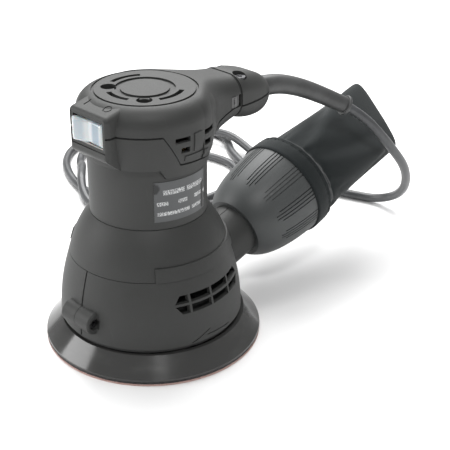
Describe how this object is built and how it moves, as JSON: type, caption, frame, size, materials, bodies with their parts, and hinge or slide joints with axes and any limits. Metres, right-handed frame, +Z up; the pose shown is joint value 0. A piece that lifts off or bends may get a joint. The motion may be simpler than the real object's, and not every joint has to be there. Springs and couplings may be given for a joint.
{
  "type": "orbital sander",
  "caption": "Corded orbital sander: round hook-and-loop pad on an eccentric bearing under a motor column, grip head with rocker switch, speed dial, mains cord and pull-off cloth dust bag.",
  "frame": {"origin": "on the motor axis, in the face of the abrasive disc that meets the work", "axes": "+Z up along the motor axis away from the work; +X towards the tail, cord and dust bag; the switch faces -X"},
  "size_m": [0.3003, 0.3195, 0.1486],
  "materials": {
    "black_gloss": "glossy moulded pad",
    "body_plastic": "fine-grained charcoal moulding",
    "collar_plastic": "satin moulding with fine flutes",
    "hook_fabric": "hook-and-loop pile",
    "abrasive": "pinkish aluminium-oxide paper",
    "brake_rubber": "dull rubber",
    "steel": "machined steel",
    "bearing_steel": "ground steel",
    "laminations": "stacked laminations",
    "copper": "enamelled copper wire",
    "brass": "pressed brass",
    "carbon": "pressed carbon",
    "fan_plastic": "glass-filled nylon",
    "hub_metal": "die-cast",
    "label_grey": "printed label",
    "label_black": "printed label",
    "boot_silicone": "translucent silicone",
    "rocker_plastic": "pale rocker",
    "switch_plastic": "moulded switch case",
    "dial_plastic": "dial with printed marks",
    "board": "potted circuit board",
    "capacitor_yellow": "moulded capacitor case",
    "wire": "insulated wire",
    "screw_steel": "blackened steel",
    "cord_rubber": "semi-gloss sheath",
    "guard_rubber": "semi-gloss moulded guard",
    "plug_rubber": "moulded plug",
    "pin_metal": "nickel plate",
    "bag_cloth": "dark woven cloth"
  },
  "bodies": {
    "housing": {"lower_bearing_outer": "bearing_steel", "upper_bearing_outer": "bearing_steel", "brake_ring": "brake_rubber", "fan_housing_left": "body_plastic", "fan_housing_right": "body_plastic", "boss_screw": "screw_steel", "shoulder_cover": "body_plastic", "dust_outlet": "body_plastic", "bearing_plate": "fan_plastic", "motor_housing": "body_plastic", "field_stator": "laminations", "field_coils": "copper", "brush_holders": "brass", "carbon_brushes": "carbon", "brush_springs": "steel", "rating_label": "label_grey", "icon_label": "label_black", "head_base": "body_plastic", "top_cover": "body_plastic", "top_cover_screws": "screw_steel", "tail_cap_upper": "body_plastic", "tail_cap_lower": "body_plastic", "tail_cap_screws": "screw_steel", "switch_frame": "body_plastic", "switch_body": "switch_plastic", "speed_module": "board", "suppressor_capacitor": "capacitor_yellow", "internal_wires": "wire", "cord_clamp": "switch_plastic", "clamp_screws": "screw_steel", "cord_guard": "guard_rubber", "power_cord": "cord_rubber", "cord_coil": "cord_rubber", "plug_body": "plug_rubber", "plug_pins": "pin_metal"},
    "rotor": {"motor_shaft": "steel", "armature_core": "laminations", "armature_windings": "copper", "commutator": "copper", "cooling_fan": "fan_plastic", "eccentric_hub": "hub_metal", "lower_bearing_inner": "bearing_steel", "upper_bearing_inner": "bearing_steel", "pad_bearing_outer": "bearing_steel"},
    "pad": {"pad_bearing_inner": "bearing_steel", "pad_spindle": "steel", "pad_screw": "screw_steel", "backing_plate": "fan_plastic", "pad_body": "black_gloss", "hook_layer": "hook_fabric", "sanding_disc": "abrasive"},
    "switch_rocker": {"rocker": "rocker_plastic", "switch_boot": "boot_silicone"},
    "dial": {"speed_dial": "dial_plastic"},
    "dust_bag": {"dust_collar": "collar_plastic", "collar_ring": "fan_plastic", "bag_hem": "bag_cloth", "bag_fabric": "bag_cloth"}
  },
  "joints": [
    {"name": "rotor_spin", "type": "hinge", "parent": "housing", "child": "rotor", "pos_m": [0, 0, 0.06], "axis": [0, 0, 1], "continuous": true},
    {"name": "pad_spin", "type": "hinge", "parent": "rotor", "child": "pad", "pos_m": [0.00125, 0, 0.024], "axis": [0, 0, 1], "continuous": true},
    {"name": "switch_tilt", "type": "hinge", "parent": "housing", "child": "switch_rocker", "pos_m": [-0.0355, 0, 0.1345], "axis": [0, 0, 1], "range_deg": [-14, 0]},
    {"name": "dial_turn", "type": "hinge", "parent": "housing", "child": "dial", "pos_m": [0.051, -0.0076, 0.131], "axis": [0, 0, 1], "range_deg": [0, 270]},
    {"name": "bag_slide", "type": "slide", "parent": "housing", "child": "dust_bag", "axis": [0.9588, 0, 0.284], "range_m": [0, 0.045]}
  ]
}
